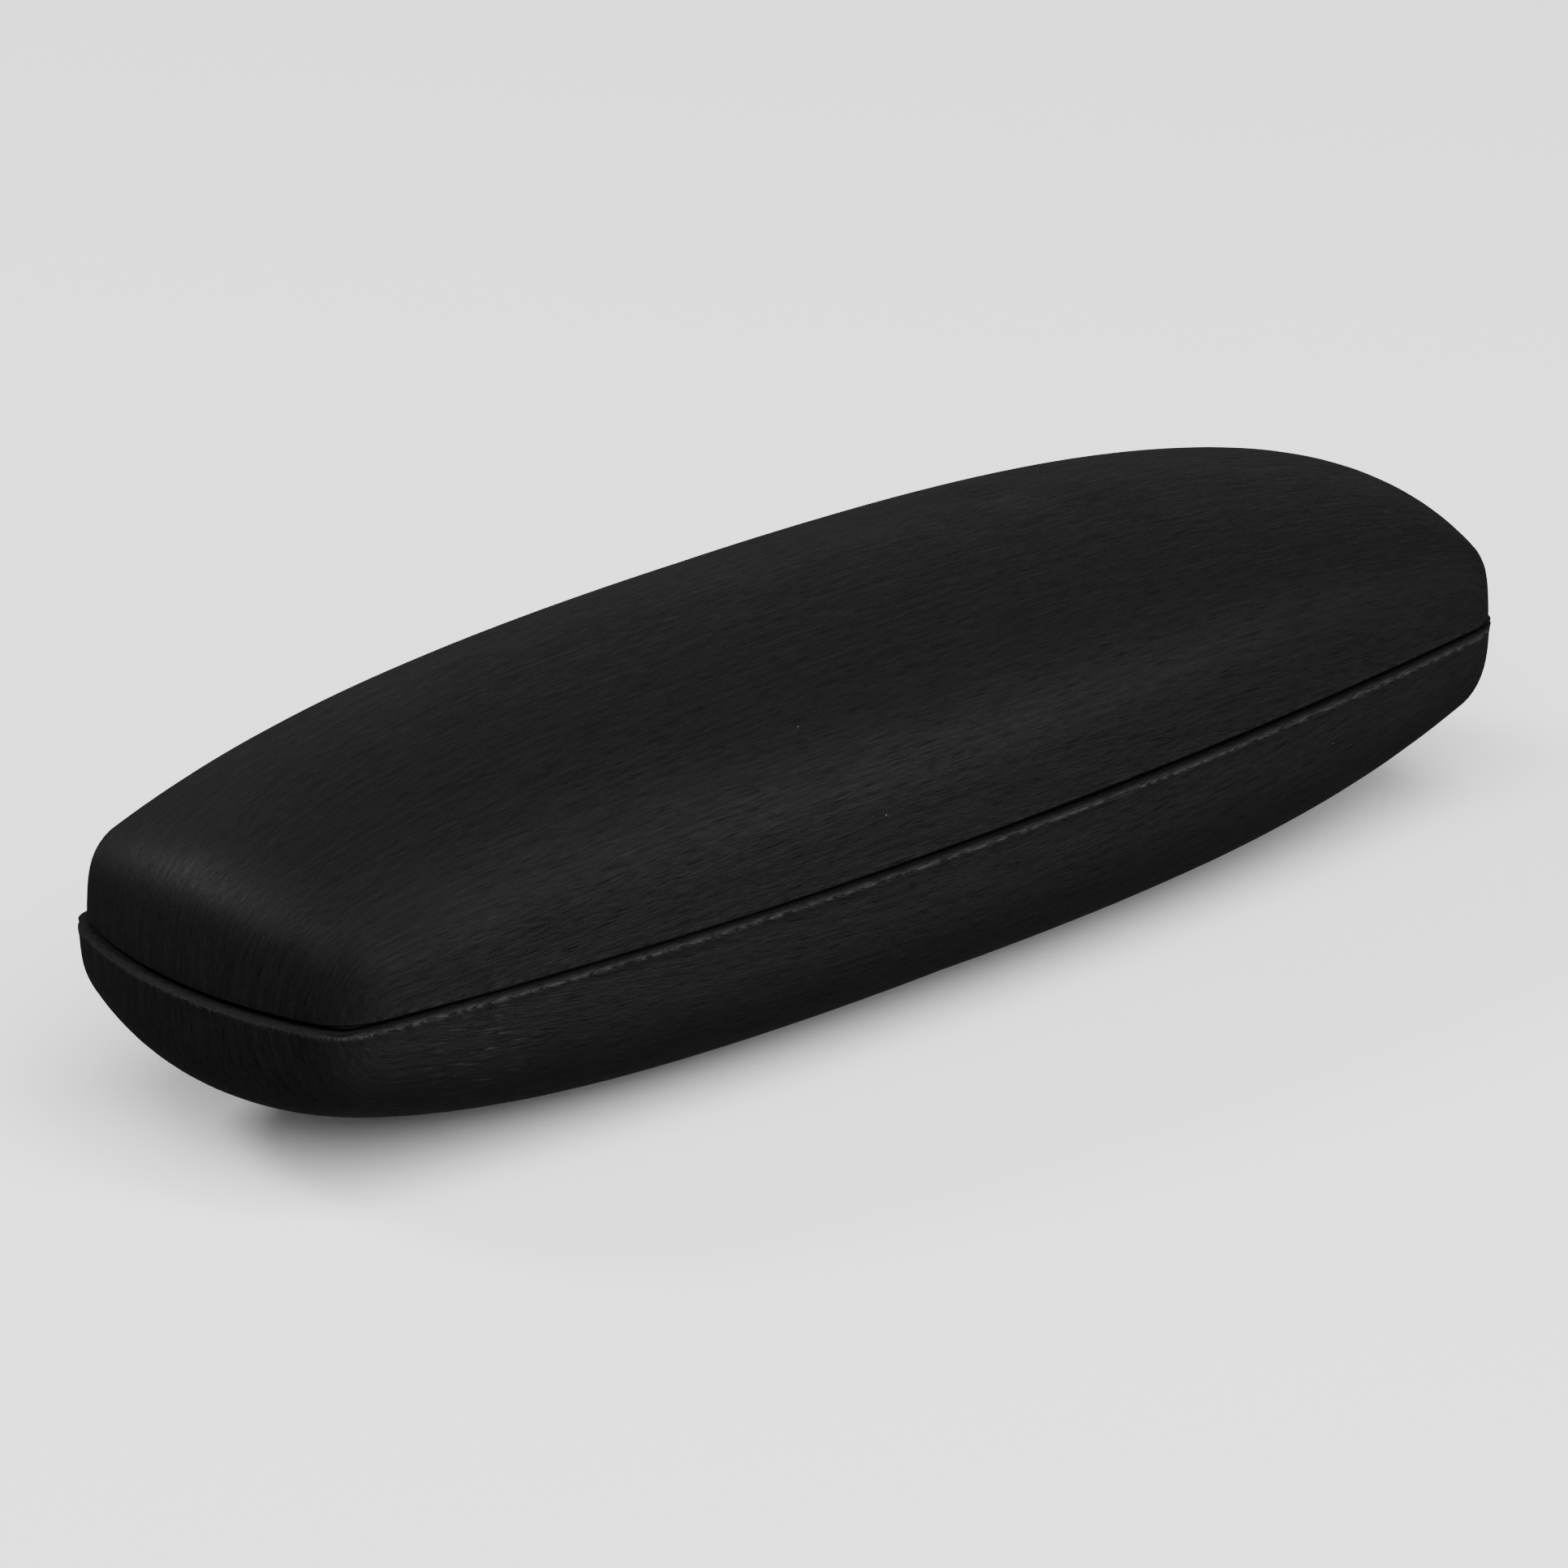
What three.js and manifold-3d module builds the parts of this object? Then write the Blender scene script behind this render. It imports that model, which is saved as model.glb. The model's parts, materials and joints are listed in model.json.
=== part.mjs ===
// A clamshell spectacle case. Two pressed steel shells, each wrapped in leatherette and lined,
// are joined along the back by a snap hinge.
// Millimetres. X runs along the case, -Y is the front where it opens, +Z is up.
// The origin is on the table, under the middle of the case.

import * as THREE from 'three';
import { mergeVertices } from 'three/addons/utils/BufferGeometryUtils.js';
import Module from 'manifold-3d';

const wasm = await Module();
wasm.setup();

// ---- Driving dimensions: the outside ----
const HALF_LENGTH = 80;
const HALF_WIDTH = 25.6;
const SIDE_BOW = 6.4; // how far each long side bulges past its corners
const END_BOW = 7.3; // how far each end bulges past its corners
const CORNER_RADIUS = 3; // plan radius where a side meets an end
const RIM_HEIGHT = 19.4; // height of the parting line
const TOP_HEIGHT = 39.2;
const TOP_FALL = { ends: 3.6, tips: 5.9, sides: 6.5 }; // how the crown of the lid drops away
const UNDERSIDE_RISE = { ends: 2.25, tips: 7.1, sides: 6.8 }; // how the underside lifts
const FOOT_SINK = 1; // depth of underside crown taken off to leave a flat foot
const BASE_WALL = { depth: 22, power: 4.6 }; // superellipse from rim to underside
const LID_WALL = { depth: 20, power: 6 };
const LID_INSET = 0.38; // the lid is this much smaller all round
const LID_SHIFT = 0.45; // and sits this far towards +X
const RIM_GAP = 0.35; // daylight between the two rims

// ---- Driving dimensions: the layers, as insets from the outside ----
const COVER = { outer: 0, inner: 0.9 };
const SHELL = { outer: 1.15, inner: 1.65 };
const TURN_IN = { outer: 1.9, inner: 2.6, depth: 5 }; // the leatherette folded over the rim
const BOARD = { outer: 2.85, inner: 3.55, edge: 1.8 };
const LINING = { outer: 3.75, inner: 4.65, edge: 1.5 };
const BEAD = 0.9; // radius of the fold over the rim
const SHELL_EDGE = 1.2; // the steel stops this far short of the rim
const LINER_CORNER = 4; // plan radius of the board and the lining
const MIN_CORNER = 1.4;
const SPINE_LENGTH = 0.62; // the rays of each shell end on a line this long, as a share

// ---- Driving dimensions: the hinge ----
const HINGE_HALF = 28;
const KNUCKLE_RADIUS = 1.5;
const KNUCKLE_SPANS = 7; // base and lid take turns, and the middle one is the lid's cam
const KNUCKLE_GAP = 0.4;
const PIN_RADIUS = 0.8;
const PIN_HOLE_RADIUS = 0.85;
const PIN_HEAD = { radius: 1.3, thickness: 0.6 };
const PIN_PLAY = 0.2; // between each pin head and the end of the hinge
const LEAF_THICKNESS = 0.6;
const LEAF_HEIGHT = 7.5; // from the axis to the free edge of each leaf
const LEAF_DEPTH = 3.5; // from the axis in to the leaf
const CAM_FLAT = 1.15; // from the axis to each flat on the cam
const OPEN_ANGLE = 110;
const SLOT_HALF_HEIGHT = 1.9;
const SLOT_END_GAP = 1.2;
const SPRING = { halfWidth: 3.2, thickness: 0.4, clearance: 0.05, top: 0.5, knee: -1.2, foot: -4.1, bottom: -7.2 };
const RIVET_RADIUS = 1;
const RIVET_HOLE_RADIUS = 1.3;
const RIVET_PLACES = [-21, -11, 11, 21];
const SPRING_RIVET = { radius: 0.7, hole: 1, places: [-1.7, 1.7], drop: 5.8 };
const SPRING_WINDOW = 4.3; // the base leaf is cut down to here to let the spring through
const LEAF_TO_SPRING = 0.3;
const RIVET_DROP = 5;
const RIVET_RECESS = 0.35; // the rivets end this far inside the steel's outer face
const GUSSET = { halfLength: 30, halfHeight: 7.6, thickness: 0.6, depth: 5.1 };
const LINER_NOTCH_GAP = 0.6;
const CUTTER_REACH = 9; // cutters run this far from the hinge axis, clear through what they cut
const AXIS_OUT = 0.2; // from the back of the case out to the hinge axis
const AXIS_Y = HALF_WIDTH + AXIS_OUT;
const AXIS_Z = RIM_HEIGHT + RIM_GAP / 2;

// ---- How finely the curves are cut ----
const SIDE_STEPS = 4;
const CORNER_STEPS = 3;
const END_STEPS = 3;
const WALL_ANGLES = [25, 38, 45, 52, 62];
const CROWN_SHARES = [0.45, 1]; // of the way from the last wall row to the spine

// ---- Materials ----
const material = (color, roughness, metalness) =>
  new THREE.MeshStandardMaterial({ color, roughness, metalness });
const leatherette = material(0x141414, 0.55, 0);
const pressedSteel = material(0x8d9094, 0.45, 0.9);
const hingeSteel = material(0x3a3b3d, 0.35, 0.9);
const board = material(0x5b5148, 0.9, 0);
const velour = material(0x1c1d20, 0.95, 0);

// ---- Plan outline: four shallow arcs with rounded corners, at any inset ----
function makePlan(inset, wantedCorner) {
  const corner = Math.max(wantedCorner, MIN_CORNER);
  const fullSide = (HALF_LENGTH ** 2 + SIDE_BOW ** 2) / (2 * SIDE_BOW);
  const fullEnd = (HALF_WIDTH ** 2 + END_BOW ** 2) / (2 * END_BOW);
  const sideCentre = new THREE.Vector2(0, HALF_WIDTH - fullSide);
  const endCentre = new THREE.Vector2(HALF_LENGTH - fullEnd, 0);
  const sideReach = fullSide - inset - corner;
  const endReach = fullEnd - inset - corner;
  const between = endCentre.clone().sub(sideCentre);
  const gap = between.length();
  const along = (sideReach ** 2 - endReach ** 2 + gap ** 2) / (2 * gap);
  const aside = Math.sqrt(sideReach ** 2 - along ** 2);
  const unit = between.divideScalar(gap);
  const cornerCentre = new THREE.Vector2(
    sideCentre.x + unit.x * along + unit.y * aside,
    sideCentre.y + unit.y * along - unit.x * aside,
  );
  return { corner, sideCentre, endCentre, sideReach, endReach, cornerCentre };
}

// The first quarter, from the middle of the long side to the middle of the end.
function quarterOutline(plan) {
  const arc = (centre, radius, from, to, steps) =>
    Array.from({ length: steps + 1 }, (_, i) => {
      const angle = from + ((to - from) * i) / steps;
      return new THREE.Vector2(centre.x + radius * Math.cos(angle), centre.y + radius * Math.sin(angle));
    });
  const sideEnd = plan.cornerCentre.clone().sub(plan.sideCentre).angle();
  const endStart = plan.cornerCentre.clone().sub(plan.endCentre).angle();
  const side = arc(plan.sideCentre, plan.sideReach + plan.corner, Math.PI / 2, sideEnd, SIDE_STEPS);
  const corner = arc(plan.cornerCentre, plan.corner, sideEnd, endStart, CORNER_STEPS);
  const end = arc(plan.endCentre, plan.endReach + plan.corner, endStart, 0, END_STEPS);
  return [...side, ...corner.slice(1), ...end.slice(1)];
}

function fullOutline(plan) {
  const first = quarterOutline(plan);
  const flip = (points, sx, sy) => points.map((p) => new THREE.Vector2(p.x * sx, p.y * sy));
  return [
    ...first,
    ...flip(first, 1, -1).reverse().slice(1),
    ...flip(first, -1, -1).slice(1),
    ...flip(first, -1, 1).reverse().slice(1, -1),
  ];
}

// How far a point lies inside the outline. Deep in, the two walls' distances blend smoothly.
function depthInside(plan, point) {
  const x = Math.abs(point.x);
  const y = Math.abs(point.y);
  const u = plan.sideReach - Math.hypot(x - plan.sideCentre.x, y - plan.sideCentre.y);
  const v = plan.endReach - Math.hypot(x - plan.endCentre.x, y - plan.endCentre.y);
  if (u <= 0 && v <= 0) return plan.corner - Math.hypot(u, v);
  if (u > 0 && v > 0) return plan.corner + u + v - Math.hypot(u, v);
  return plan.corner + Math.min(u, v);
}

function crownFall(fall, x, y) {
  const along = x / HALF_LENGTH;
  const across = y / HALF_WIDTH;
  return fall.ends * along ** 2 + fall.tips * along ** 4 + fall.sides * across ** 2;
}

// Where along 0 to 1 a test first turns true.
function crossing(test) {
  let low = 0;
  let high = 1;
  for (let i = 0; i < 40; i += 1) {
    const middle = (low + high) / 2;
    if (test(middle)) high = middle;
    else low = middle;
  }
  return high;
}

// ---- One layer of one half: a bowl that can be sampled ray by ray ----
// up is +1 for the lid and -1 for the base.
function makeLayer(half, inset, corner = CORNER_RADIUS - inset) {
  const isLid = half === 'lid';
  const up = isLid ? 1 : -1;
  const wall = isLid ? LID_WALL : BASE_WALL;
  const shift = isLid ? LID_SHIFT : 0;
  const rim = isLid ? RIM_HEIGHT + RIM_GAP : RIM_HEIGHT;
  const plan = makePlan(inset + (isLid ? LID_INSET : 0), corner);
  const outline = fullOutline(plan);
  const wallDepth = wall.depth - inset;

  function crownHeight(x, y) {
    if (isLid) return TOP_HEIGHT - crownFall(TOP_FALL, x, y) - inset;
    return crownFall(UNDERSIDE_RISE, x, y) - FOOT_SINK + inset;
  }
  function pointOnRay(ray, share) {
    const start = outline[ray];
    return new THREE.Vector2(
      start.x + (start.x * SPINE_LENGTH - start.x) * share,
      start.y * (1 - share),
    );
  }
  const shareAtDepth = (ray, depth) => crossing((s) => depthInside(plan, pointOnRay(ray, s)) >= depth);
  // The point of the bowl above or below a place on the ray. The underside ends at its flat foot.
  function surfacePoint(ray, share) {
    const place = pointOnRay(ray, share);
    const depth = Math.min(depthInside(plan, place) / wallDepth, 1);
    const rise = (1 - (1 - depth) ** wall.power) ** (1 / wall.power);
    const height = rim + rise * (crownHeight(place.x, place.y) - rim);
    return new THREE.Vector3(place.x + shift, place.y, isLid ? height : Math.max(height, inset));
  }
  // Rows of the wall are spread by their angle, seen from the inner corner of the superellipse.
  function depthAtAngle(degrees) {
    const c = Math.cos(THREE.MathUtils.degToRad(degrees));
    const s = Math.sin(THREE.MathUtils.degToRad(degrees));
    return wallDepth * (1 - c / (c ** wall.power + s ** wall.power) ** (1 / wall.power));
  }
  const wallRow = (degrees) =>
    outline.map((_, ray) => surfacePoint(ray, shareAtDepth(ray, depthAtAngle(degrees))));
  function crownRow(part) {
    const lastDepth = depthAtAngle(WALL_ANGLES.at(-1));
    return outline.map((_, ray) => {
      const first = shareAtDepth(ray, lastDepth);
      return surfacePoint(ray, first + (1 - first) * part);
    });
  }
  // A row at a fixed distance from the rim, on the wall.
  function rimRow(distance) {
    return outline.map((_, ray) => {
      const share = crossing((s) => up * (surfacePoint(ray, s).z - rim) >= distance);
      const place = pointOnRay(ray, distance > 0 ? share : 0);
      return new THREE.Vector3(place.x + shift, place.y, rim + up * distance);
    });
  }
  // All rows from the spine out to the lowest row of the wall.
  function bowlRows() {
    return [...CROWN_SHARES.toReversed().map(crownRow), ...WALL_ANGLES.toReversed().map(wallRow)];
  }
  // The bowl's rows closed with a lid across the rim: everything that the layer encloses.
  function filledRings() {
    const lidRow = outline.map((_, ray) => {
      const place = pointOnRay(ray, 1);
      return new THREE.Vector3(place.x + shift, place.y, rim);
    });
    return [...bowlRows(), rimRow(0), lidRow];
  }
  return { rimRow, bowlRows, filledRings };
}

// ---- Rings to a closed body ----
// Each four-sided patch is split along its shorter diagonal, so that nested layers split alike.
function skinRings(rings) {
  const count = rings[0].length;
  const positions = [];
  const push = (...points) => points.forEach((p) => positions.push(p.x, p.y, p.z));
  for (let r = 0; r + 1 < rings.length; r += 1) {
    for (let j = 0; j < count; j += 1) {
      const [a, b] = [rings[r][j], rings[r][(j + 1) % count]];
      const [d, c] = [rings[r + 1][j], rings[r + 1][(j + 1) % count]];
      if (a.distanceTo(c) < b.distanceTo(d)) push(a, d, c, a, c, b);
      else push(a, d, b, b, d, c);
    }
  }
  const geometry = new THREE.BufferGeometry();
  geometry.setAttribute('position', new THREE.Float32BufferAttribute(positions, 3));
  return geometry;
}

function toSolid(geometry) {
  const bare = geometry.clone();
  bare.deleteAttribute('normal');
  bare.deleteAttribute('uv');
  const merged = mergeVertices(bare, 1e-4);
  const vertProperties = new Float32Array(merged.attributes.position.array);
  const index = merged.index.array;
  const triangles = [];
  for (let i = 0; i < index.length; i += 3) {
    const [a, b, c] = [index[i], index[i + 1], index[i + 2]];
    if (a !== b && b !== c && c !== a) triangles.push(a, b, c);
  }
  if (signedVolume(vertProperties, triangles) < 0) triangles.reverse();
  return new wasm.Manifold(new wasm.Mesh({ numProp: 3, vertProperties, triVerts: new Uint32Array(triangles) }));
}

function signedVolume(positions, triangles) {
  const [a, b, c] = [new THREE.Vector3(), new THREE.Vector3(), new THREE.Vector3()];
  let six = 0;
  for (let i = 0; i < triangles.length; i += 3) {
    a.fromArray(positions, triangles[i] * 3);
    b.fromArray(positions, triangles[i + 1] * 3);
    c.fromArray(positions, triangles[i + 2] * 3);
    six += a.dot(b.cross(c));
  }
  return six;
}

function toMesh(name, solid, finish) {
  const { vertProperties, triVerts } = solid.getMesh();
  const geometry = new THREE.BufferGeometry();
  geometry.setAttribute('position', new THREE.BufferAttribute(vertProperties, 3));
  geometry.setIndex(new THREE.BufferAttribute(triVerts, 1));
  geometry.computeVertexNormals();
  const mesh = new THREE.Mesh(geometry, finish);
  mesh.name = name;
  return mesh;
}

// ---- Simple shapes, placed from the hinge axis: y is outwards and z up ----
function boxBetween(x0, x1, y0, y1, z0, z1) {
  const shape = new THREE.BoxGeometry(x1 - x0, y1 - y0, z1 - z0);
  shape.translate((x0 + x1) / 2, AXIS_Y + (y0 + y1) / 2, AXIS_Z + (z0 + z1) / 2);
  return toSolid(shape);
}

function rodAlongX(radius, x0, x1, sides = 16) {
  const shape = new THREE.CylinderGeometry(radius, radius, x1 - x0, sides);
  shape.rotateZ(Math.PI / 2);
  shape.translate((x0 + x1) / 2, AXIS_Y, AXIS_Z);
  return toSolid(shape);
}

function rodAlongY(radius, x, z, y0, y1, sides = 12) {
  const shape = new THREE.CylinderGeometry(radius, radius, y1 - y0, sides);
  shape.translate(x, AXIS_Y + (y0 + y1) / 2, AXIS_Z + z);
  return toSolid(shape);
}

const holeAlongY = (radius, x, z) => rodAlongY(radius, x, z, -CUTTER_REACH, CUTTER_REACH);
const joinAll = (solids) => solids.reduce((all, next) => all.add(next));
const cutAll = (solid, cutters) => cutters.reduce((rest, cutter) => rest.subtract(cutter), solid);

// ---- The wrapped shells ----
const slotEnd = HINGE_HALF + SLOT_END_GAP;
function hingeSlot() {
  return boxBetween(-slotEnd, slotEnd, -CUTTER_REACH, CUTTER_REACH, -SLOT_HALF_HEIGHT, SLOT_HALF_HEIGHT);
}

// The folded leatherette is cut away behind the steel, to clear the hinge leaf.
function leafRecess(half) {
  const behindSteel = toSolid(skinRings(makeLayer(half, (SHELL.inner + TURN_IN.outer) / 2).filledRings()));
  const reach = boxBetween(-slotEnd, slotEnd, -CUTTER_REACH, 0, -CUTTER_REACH, CUTTER_REACH);
  return reach.intersect(behindSteel);
}

function makeCover(half) {
  const outer = makeLayer(half, COVER.outer);
  const inner = makeLayer(half, COVER.inner);
  const foldOuter = makeLayer(half, TURN_IN.outer);
  const foldInner = makeLayer(half, TURN_IN.inner);
  const quarter = 1 - Math.SQRT1_2;
  const rings = [
    ...outer.bowlRows(),
    outer.rimRow(BEAD),
    makeLayer(half, BEAD * quarter).rimRow(BEAD * quarter),
    makeLayer(half, BEAD).rimRow(0),
    makeLayer(half, TURN_IN.inner - BEAD).rimRow(0),
    makeLayer(half, TURN_IN.inner - BEAD * quarter).rimRow(BEAD * quarter),
    foldInner.rimRow(BEAD),
    foldInner.rimRow(TURN_IN.depth),
    foldOuter.rimRow(TURN_IN.depth),
    foldOuter.rimRow(BEAD),
    inner.rimRow(BEAD),
    ...inner.bowlRows().reverse(),
  ];
  return cutAll(toSolid(skinRings(rings)), [hingeSlot(), leafRecess(half)]);
}

function makeBowl(half, layer, edge, corner) {
  const outer = makeLayer(half, layer.outer, corner);
  const inner = makeLayer(half, layer.inner, corner);
  const rings = [
    ...outer.bowlRows(),
    outer.rimRow(edge),
    inner.rimRow(edge),
    ...inner.bowlRows().reverse(),
  ];
  return toSolid(skinRings(rings));
}

function makeShell(half) {
  const holes = rivetPlaces(half).map(([x, z]) => holeAlongY(RIVET_HOLE_RADIUS, x, z));
  return cutAll(makeBowl(half, SHELL, SHELL_EDGE), [hingeSlot(), ...holes]);
}

// The board and the lining leave a notch for the hinge, which the gusset fills.
function makeLiner(half, layer) {
  const x = GUSSET.halfLength + LINER_NOTCH_GAP;
  const z = GUSSET.halfHeight + LINER_NOTCH_GAP;
  const notch = boxBetween(-x, x, -CUTTER_REACH, 0, -z, z);
  return makeBowl(half, layer, layer.edge, LINER_CORNER).subtract(notch);
}

// ---- The hinge ----
const side = (half) => (half === 'lid' ? 1 : -1);

function rivetPlaces(half) {
  return RIVET_PLACES.map((x) => [x, side(half) * RIVET_DROP]);
}

function knuckleSpan(i) {
  const pitch = (2 * HINGE_HALF) / KNUCKLE_SPANS;
  const start = -HINGE_HALF + i * pitch;
  return [start + KNUCKLE_GAP / 2, start + pitch - KNUCKLE_GAP / 2];
}

// One flat on the cam, facing the given way. 0 is outwards and 90 is up.
function camFlatCutter(degrees, x0, x1) {
  const size = 2 * KNUCKLE_RADIUS;
  const shape = new THREE.BoxGeometry(x1 - x0, size, 2 * size);
  shape.translate((x0 + x1) / 2, CAM_FLAT + size / 2, 0);
  shape.rotateX(THREE.MathUtils.degToRad(degrees));
  shape.translate(0, AXIS_Y, AXIS_Z);
  return toSolid(shape);
}

// The holes for the spring's rivets, and the window that the spring passes through.
function springCuts() {
  const { hole, places, drop } = SPRING_RIVET;
  const holes = places.map((x) => holeAlongY(hole, x, -drop));
  const [start, end] = knuckleSpan((KNUCKLE_SPANS - 1) / 2);
  const [back, front] = [-LEAF_DEPTH - 2 * LEAF_THICKNESS, -LEAF_DEPTH + LEAF_THICKNESS];
  return [...holes, boxBetween(start, end, back, front, -SPRING_WINDOW, 0)];
}

// The two flats that the spring rests on, one with the case shut and one with it open.
function camCuts() {
  const [start, end] = knuckleSpan((KNUCKLE_SPANS - 1) / 2);
  const flangeStart = KNUCKLE_RADIUS - LEAF_THICKNESS;
  const flange = boxBetween(start, end, -CUTTER_REACH, CUTTER_REACH, flangeStart, CUTTER_REACH);
  return [camFlatCutter(180, start, end).subtract(flange), camFlatCutter(180 + OPEN_ANGLE, start, end)];
}

function makeLeaf(half) {
  const s = side(half);
  const band = (a, b) => [Math.min(s * a, s * b), Math.max(s * a, s * b)];
  const owned = [...Array(KNUCKLE_SPANS).keys()].filter((i) => (i % 2 === 0) === (half === 'base'));
  const flangeStart = KNUCKLE_RADIUS - LEAF_THICKNESS;
  const back = -LEAF_DEPTH - LEAF_THICKNESS;
  const plate = boxBetween(-HINGE_HALF, HINGE_HALF, back, -LEAF_DEPTH, ...band(flangeStart, LEAF_HEIGHT));
  const knuckles = owned.flatMap((i) => {
    const [x0, x1] = knuckleSpan(i);
    const flange = boxBetween(x0, x1, back, 0, ...band(flangeStart, KNUCKLE_RADIUS));
    return [rodAlongX(KNUCKLE_RADIUS, x0, x1), flange];
  });
  const bore = rodAlongX(PIN_HOLE_RADIUS, -slotEnd, slotEnd);
  const holes = rivetPlaces(half).map(([x, z]) => holeAlongY(RIVET_HOLE_RADIUS, x, z));
  const ownCuts = half === 'lid' ? camCuts() : springCuts();
  return cutAll(joinAll([plate, ...knuckles]), [bore, ...holes, ...ownCuts]);
}

function makePin() {
  const reach = HINGE_HALF + PIN_PLAY;
  const { radius, thickness } = PIN_HEAD;
  return joinAll([
    rodAlongX(PIN_RADIUS, -reach - thickness, reach + thickness),
    rodAlongX(radius, -reach - thickness, -reach),
    rodAlongX(radius, reach, reach + thickness),
  ]);
}

// A strip that stands against the cam, bends under it and is riveted to the base leaf.
function makeSpring() {
  const { halfWidth, thickness, clearance, top, knee, foot, bottom } = SPRING;
  const front = -KNUCKLE_RADIUS - clearance;
  const back = -LEAF_DEPTH - LEAF_THICKNESS - LEAF_TO_SPRING;
  const lift = thickness / 2;
  const outline = new THREE.Shape();
  outline.moveTo(front, top);
  outline.lineTo(front, knee);
  outline.lineTo(back, foot);
  outline.lineTo(back, bottom);
  outline.lineTo(back - thickness, bottom);
  outline.lineTo(back - thickness, foot + lift);
  outline.lineTo(front - thickness, knee + lift);
  outline.lineTo(front - thickness, top);
  outline.closePath();
  const strip = new THREE.ExtrudeGeometry(outline, { depth: 2 * halfWidth, bevelEnabled: false });
  strip.translate(0, 0, -halfWidth);
  const outlineToHinge = new THREE.Matrix4().makeBasis(
    new THREE.Vector3(0, 1, 0), new THREE.Vector3(0, 0, 1), new THREE.Vector3(1, 0, 0),
  );
  strip.applyMatrix4(outlineToHinge);
  strip.translate(0, AXIS_Y, AXIS_Z);
  const { hole, places, drop } = SPRING_RIVET;
  return cutAll(toSolid(strip), places.map((x) => holeAlongY(hole, x, -drop)));
}

function makeGusset() {
  const { halfLength, halfHeight, thickness, depth } = GUSSET;
  return boxBetween(-halfLength, halfLength, -depth - thickness, -depth, -halfHeight, halfHeight);
}

// ---- Assembly ----
const group = new THREE.Group();
const put = (name, solid, finish) => group.add(toMesh(name, solid, finish));

for (const half of ['base', 'lid']) {
  put(`${half}_cover`, makeCover(half), leatherette);
  put(`${half}_shell`, makeShell(half), pressedSteel);
  put(`${half}_board`, makeLiner(half, BOARD), board);
  put(`${half}_lining`, makeLiner(half, LINING), velour);
  put(`hinge_leaf_${half}`, makeLeaf(half), hingeSteel);
  rivetPlaces(half).forEach(([x, z], i) => {
    const recess = AXIS_OUT + SHELL.outer + RIVET_RECESS;
    const bow = SIDE_BOW * (x / HALF_LENGTH) ** 2 + (half === 'lid' ? LID_INSET : 0);
    const rivet = rodAlongY(RIVET_RADIUS, x, z, -LEAF_DEPTH - LEAF_THICKNESS, -recess - bow);
    put(`leaf_rivet_${half}_${i + 1}`, rivet, hingeSteel);
  });
}
put('hinge_pin', makePin(), hingeSteel);
put('hinge_spring', makeSpring(), pressedSteel);
SPRING_RIVET.places.forEach((x, i) => {
  const inner = -LEAF_DEPTH - LEAF_THICKNESS - LEAF_TO_SPRING - SPRING.thickness;
  const rivet = rodAlongY(SPRING_RIVET.radius, x, -SPRING_RIVET.drop, inner, -LEAF_DEPTH);
  put(`spring_rivet_${i + 1}`, rivet, hingeSteel);
});
put('hinge_gusset', makeGusset(), velour);

export default group;
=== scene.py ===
"""A clamshell spectacle case in black brushed leatherette, on a pale floor.

Metres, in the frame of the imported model: X runs along the case, -Y is the front, +Z is up.
The outside and the linings are rebuilt as fine meshes from the same layered bowl as the solids.
"""

import json
import math

import bmesh
import bpy
import numpy as np
from mathutils import Matrix, Vector


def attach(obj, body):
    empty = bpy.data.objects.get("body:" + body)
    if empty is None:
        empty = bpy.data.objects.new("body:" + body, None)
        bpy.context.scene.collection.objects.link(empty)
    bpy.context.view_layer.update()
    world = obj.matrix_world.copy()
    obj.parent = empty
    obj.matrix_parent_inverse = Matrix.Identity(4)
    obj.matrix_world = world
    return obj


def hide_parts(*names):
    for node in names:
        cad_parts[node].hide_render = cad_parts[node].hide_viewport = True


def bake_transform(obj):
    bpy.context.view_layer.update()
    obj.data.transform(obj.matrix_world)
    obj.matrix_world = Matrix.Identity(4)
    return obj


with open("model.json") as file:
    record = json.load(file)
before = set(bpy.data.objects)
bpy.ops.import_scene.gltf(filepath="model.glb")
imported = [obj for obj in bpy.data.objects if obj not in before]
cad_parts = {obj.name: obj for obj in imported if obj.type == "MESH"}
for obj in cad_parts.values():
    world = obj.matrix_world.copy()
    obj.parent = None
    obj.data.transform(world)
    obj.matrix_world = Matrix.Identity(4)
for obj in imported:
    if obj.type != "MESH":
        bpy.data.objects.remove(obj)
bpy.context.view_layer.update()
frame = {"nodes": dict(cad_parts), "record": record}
NODES = frame["nodes"]
MM = 0.001

# ---- Camera ----
AZIMUTH = math.radians(-42.472)
ELEVATION = math.radians(22.167)
ROLL = math.radians(-0.246)
DISTANCE = 1.008973
LENS = 237.64
TARGET = Vector((0, 0, 0.0196))
TARGET_RIGHT = -0.002428  # the view is centred a little beside and below the target
TARGET_UP = -0.002


def camera_axes(azimuth, elevation):
    back = Vector(
        (
            math.sin(azimuth) * math.cos(elevation),
            -math.cos(azimuth) * math.cos(elevation),
            math.sin(elevation),
        )
    )
    right = Vector((math.cos(azimuth), math.sin(azimuth), 0))
    return right, back.cross(right), back


def place_camera():
    right, up, back = camera_axes(AZIMUTH, ELEVATION)
    data = bpy.data.cameras.new("camera")
    data.lens = LENS
    data.sensor_width = 36
    data.clip_end = 20
    camera = bpy.data.objects.new("camera", data)
    bpy.context.scene.collection.objects.link(camera)
    centre = TARGET + right * TARGET_RIGHT + up * TARGET_UP
    rolled_right = right * math.cos(ROLL) + up * math.sin(ROLL)
    rolled_up = up * math.cos(ROLL) - right * math.sin(ROLL)
    turn = Matrix((rolled_right, rolled_up, back)).transposed()
    camera.matrix_world = Matrix.Translation(centre + back * DISTANCE) @ turn.to_4x4()
    bpy.context.scene.camera = camera


place_camera()

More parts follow.
